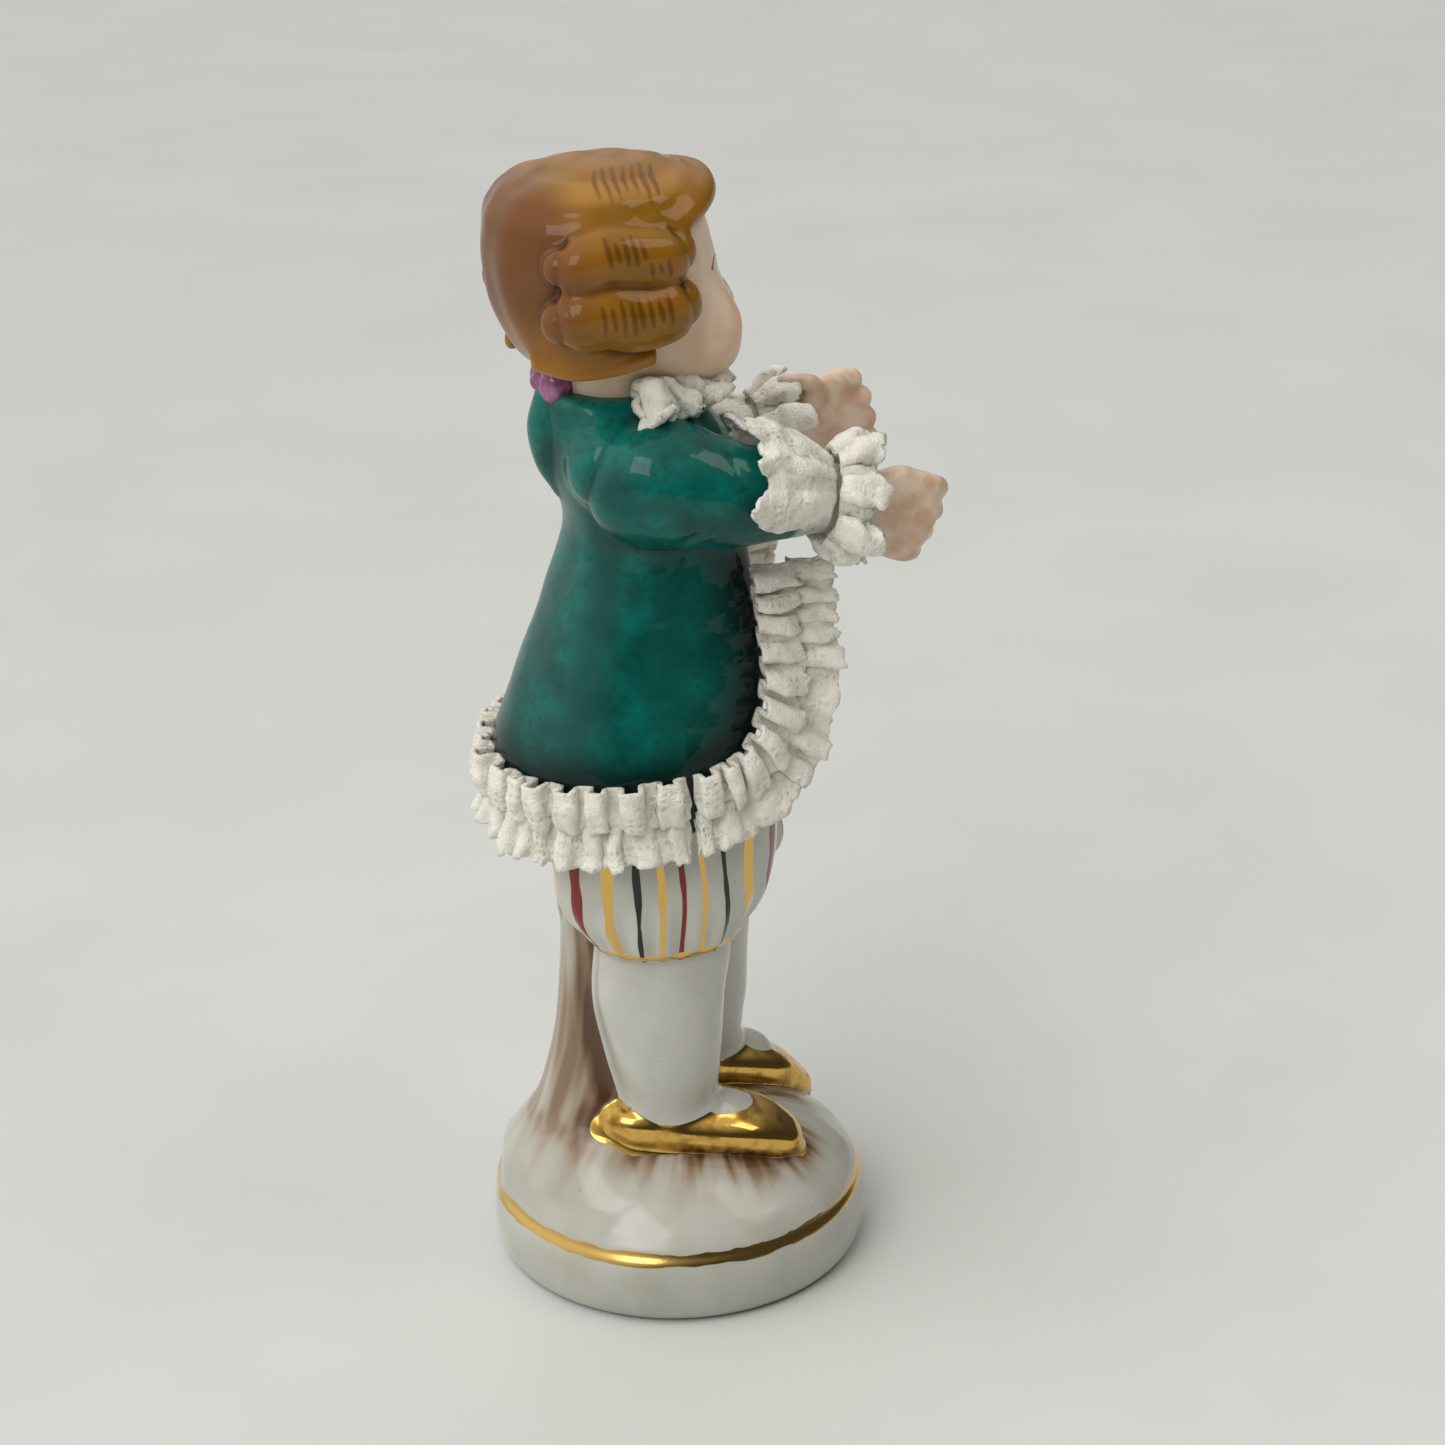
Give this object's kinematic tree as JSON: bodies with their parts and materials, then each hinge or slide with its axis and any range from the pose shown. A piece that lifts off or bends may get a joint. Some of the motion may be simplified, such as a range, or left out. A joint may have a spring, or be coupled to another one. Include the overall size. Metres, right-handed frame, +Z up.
{
  "type": "porcelain lace figurine",
  "caption": "Porcelain boy in court dress with a frock coat, frills of dipped lace and a rolled wig, standing on a round mound base.",
  "frame": {"origin": "centre of the flat underside of the base", "axes": "+Z up through the figure; the boy faces -Y and his right hand is at -X"},
  "size_m": [0.0404, 0.0473, 0.1196],
  "materials": {
    "white_glaze": "clear gloss glaze over white porcelain",
    "painted_stripes": "gloss glaze with hand-painted red, gold and black stripes",
    "green_glaze": "deep gloss coloured glaze",
    "hair_glaze": "gloss glaze with brushed strokes",
    "flesh_enamel": "satin enamel",
    "ribbon_glaze": "gloss glaze",
    "lace_bisque": "matt unglazed, rough",
    "gold_lustre": "fired gold film on glaze, mirror bright"
  },
  "bodies": {
    "root": {"base_mound": "white_glaze", "tree_stump": "white_glaze", "right_shoe": "gold_lustre", "left_shoe": "gold_lustre", "right_stocking": "white_glaze", "left_stocking": "white_glaze", "right_breeches_leg": "painted_stripes", "left_breeches_leg": "painted_stripes", "torso_waistcoat": "white_glaze", "coat_body": "green_glaze", "right_sleeve": "green_glaze", "left_sleeve": "green_glaze", "right_undersleeve": "white_glaze", "left_undersleeve": "white_glaze", "right_hand": "flesh_enamel", "left_hand": "flesh_enamel", "head": "flesh_enamel", "hair_cap": "hair_glaze", "right_upper_curl": "hair_glaze", "right_lower_curl": "hair_glaze", "left_upper_curl": "hair_glaze", "left_lower_curl": "hair_glaze", "queue_ribbon": "ribbon_glaze", "queue_tail": "green_glaze", "hem_frill_upper": "lace_bisque", "hem_frill_lower": "lace_bisque", "right_front_frill_inner": "lace_bisque", "right_front_frill_outer": "lace_bisque", "left_front_frill_inner": "lace_bisque", "left_front_frill_outer": "lace_bisque", "right_cuff_flare": "lace_bisque", "left_cuff_flare": "lace_bisque", "right_cuff_fall": "lace_bisque", "left_cuff_fall": "lace_bisque", "collar_ruffle": "lace_bisque", "jabot_upper": "lace_bisque", "jabot_lower": "lace_bisque"}
  },
  "joints": []
}
